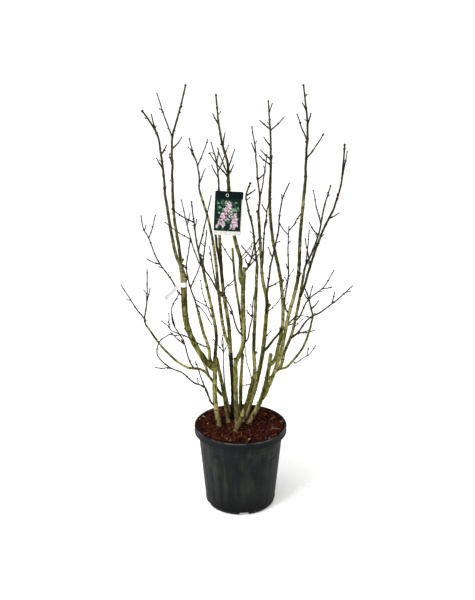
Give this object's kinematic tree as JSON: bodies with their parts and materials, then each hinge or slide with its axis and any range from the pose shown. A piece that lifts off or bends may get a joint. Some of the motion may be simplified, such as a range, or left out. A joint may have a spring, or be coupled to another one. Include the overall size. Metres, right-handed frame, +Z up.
{
  "type": "potted lilac shrub",
  "caption": "Bare multi-stem lilac shrub in a round nursery pot with bark mulch, a hanging picture label and a tape flag label.",
  "frame": {"origin": "centre of the pot's flat underside", "axes": "+Z up along the pot's axis, -Y to the front, where the picture label hangs"},
  "size_m": [0.7418, 0.5549, 1.3983],
  "materials": {
    "pot": "moulded, slightly dusty",
    "mulch": "rough bark chips",
    "stem_bark": "smooth olive bark with grey-tan patches",
    "bough_bark": "smooth olive bark with lenticels",
    "twig_bark": "grey-brown young bark with dark buds",
    "label": "printed and laminated",
    "flag": "plain white tape"
  },
  "bodies": {
    "root": {"bough_back": "bough_bark", "bough_back_left": "bough_bark", "bough_centre_leader": "bough_bark", "bough_front_upper": "bough_bark", "bough_left_front": "bough_bark", "bough_left_front_tall": "bough_bark", "bough_left_leader": "bough_bark", "bough_left_strut": "bough_bark", "bough_low_left": "bough_bark", "bough_low_right": "bough_bark", "bough_right_front": "bough_bark", "bough_right_leader": "bough_bark", "bough_right_outer": "bough_bark", "bough_right_tall": "bough_bark", "bough_upper_left": "bough_bark", "bough_upper_left_inner": "bough_bark", "marker_flag": "flag", "mulch": "mulch", "picture_label": "label", "pot": "pot", "stem_centre": "stem_bark", "stem_centre_back": "stem_bark", "stem_dark": "stem_bark", "stem_front": "stem_bark", "stem_left": "stem_bark", "stem_left_back": "stem_bark", "stem_right": "stem_bark", "stem_right_back": "stem_bark", "stem_short_back": "stem_bark", "stem_thin_back": "stem_bark", "twigs_back": "twig_bark", "twigs_back_left": "twig_bark", "twigs_back_left_side": "twig_bark", "twigs_centre": "twig_bark", "twigs_centre_front": "twig_bark", "twigs_centre_leader": "twig_bark", "twigs_centre_low": "twig_bark", "twigs_front": "twig_bark", "twigs_left_front": "twig_bark", "twigs_left_front_low": "twig_bark", "twigs_left_front_tall": "twig_bark", "twigs_left_of_flag": "twig_bark", "twigs_low_front_left": "twig_bark", "twigs_low_left": "twig_bark", "twigs_low_left_inner": "twig_bark", "twigs_low_right": "twig_bark", "twigs_low_right_side": "twig_bark", "twigs_outer_right": "twig_bark", "twigs_outer_right_upper": "twig_bark", "twigs_right_front": "twig_bark", "twigs_right_front_side": "twig_bark", "twigs_right_inner": "twig_bark", "twigs_right_leader": "twig_bark", "twigs_right_low": "twig_bark", "twigs_right_mid": "twig_bark", "twigs_right_side": "twig_bark", "twigs_right_side_back": "twig_bark", "twigs_right_tall": "twig_bark", "twigs_upper_left": "twig_bark", "twigs_upper_left_inner": "twig_bark"}
  },
  "joints": []
}
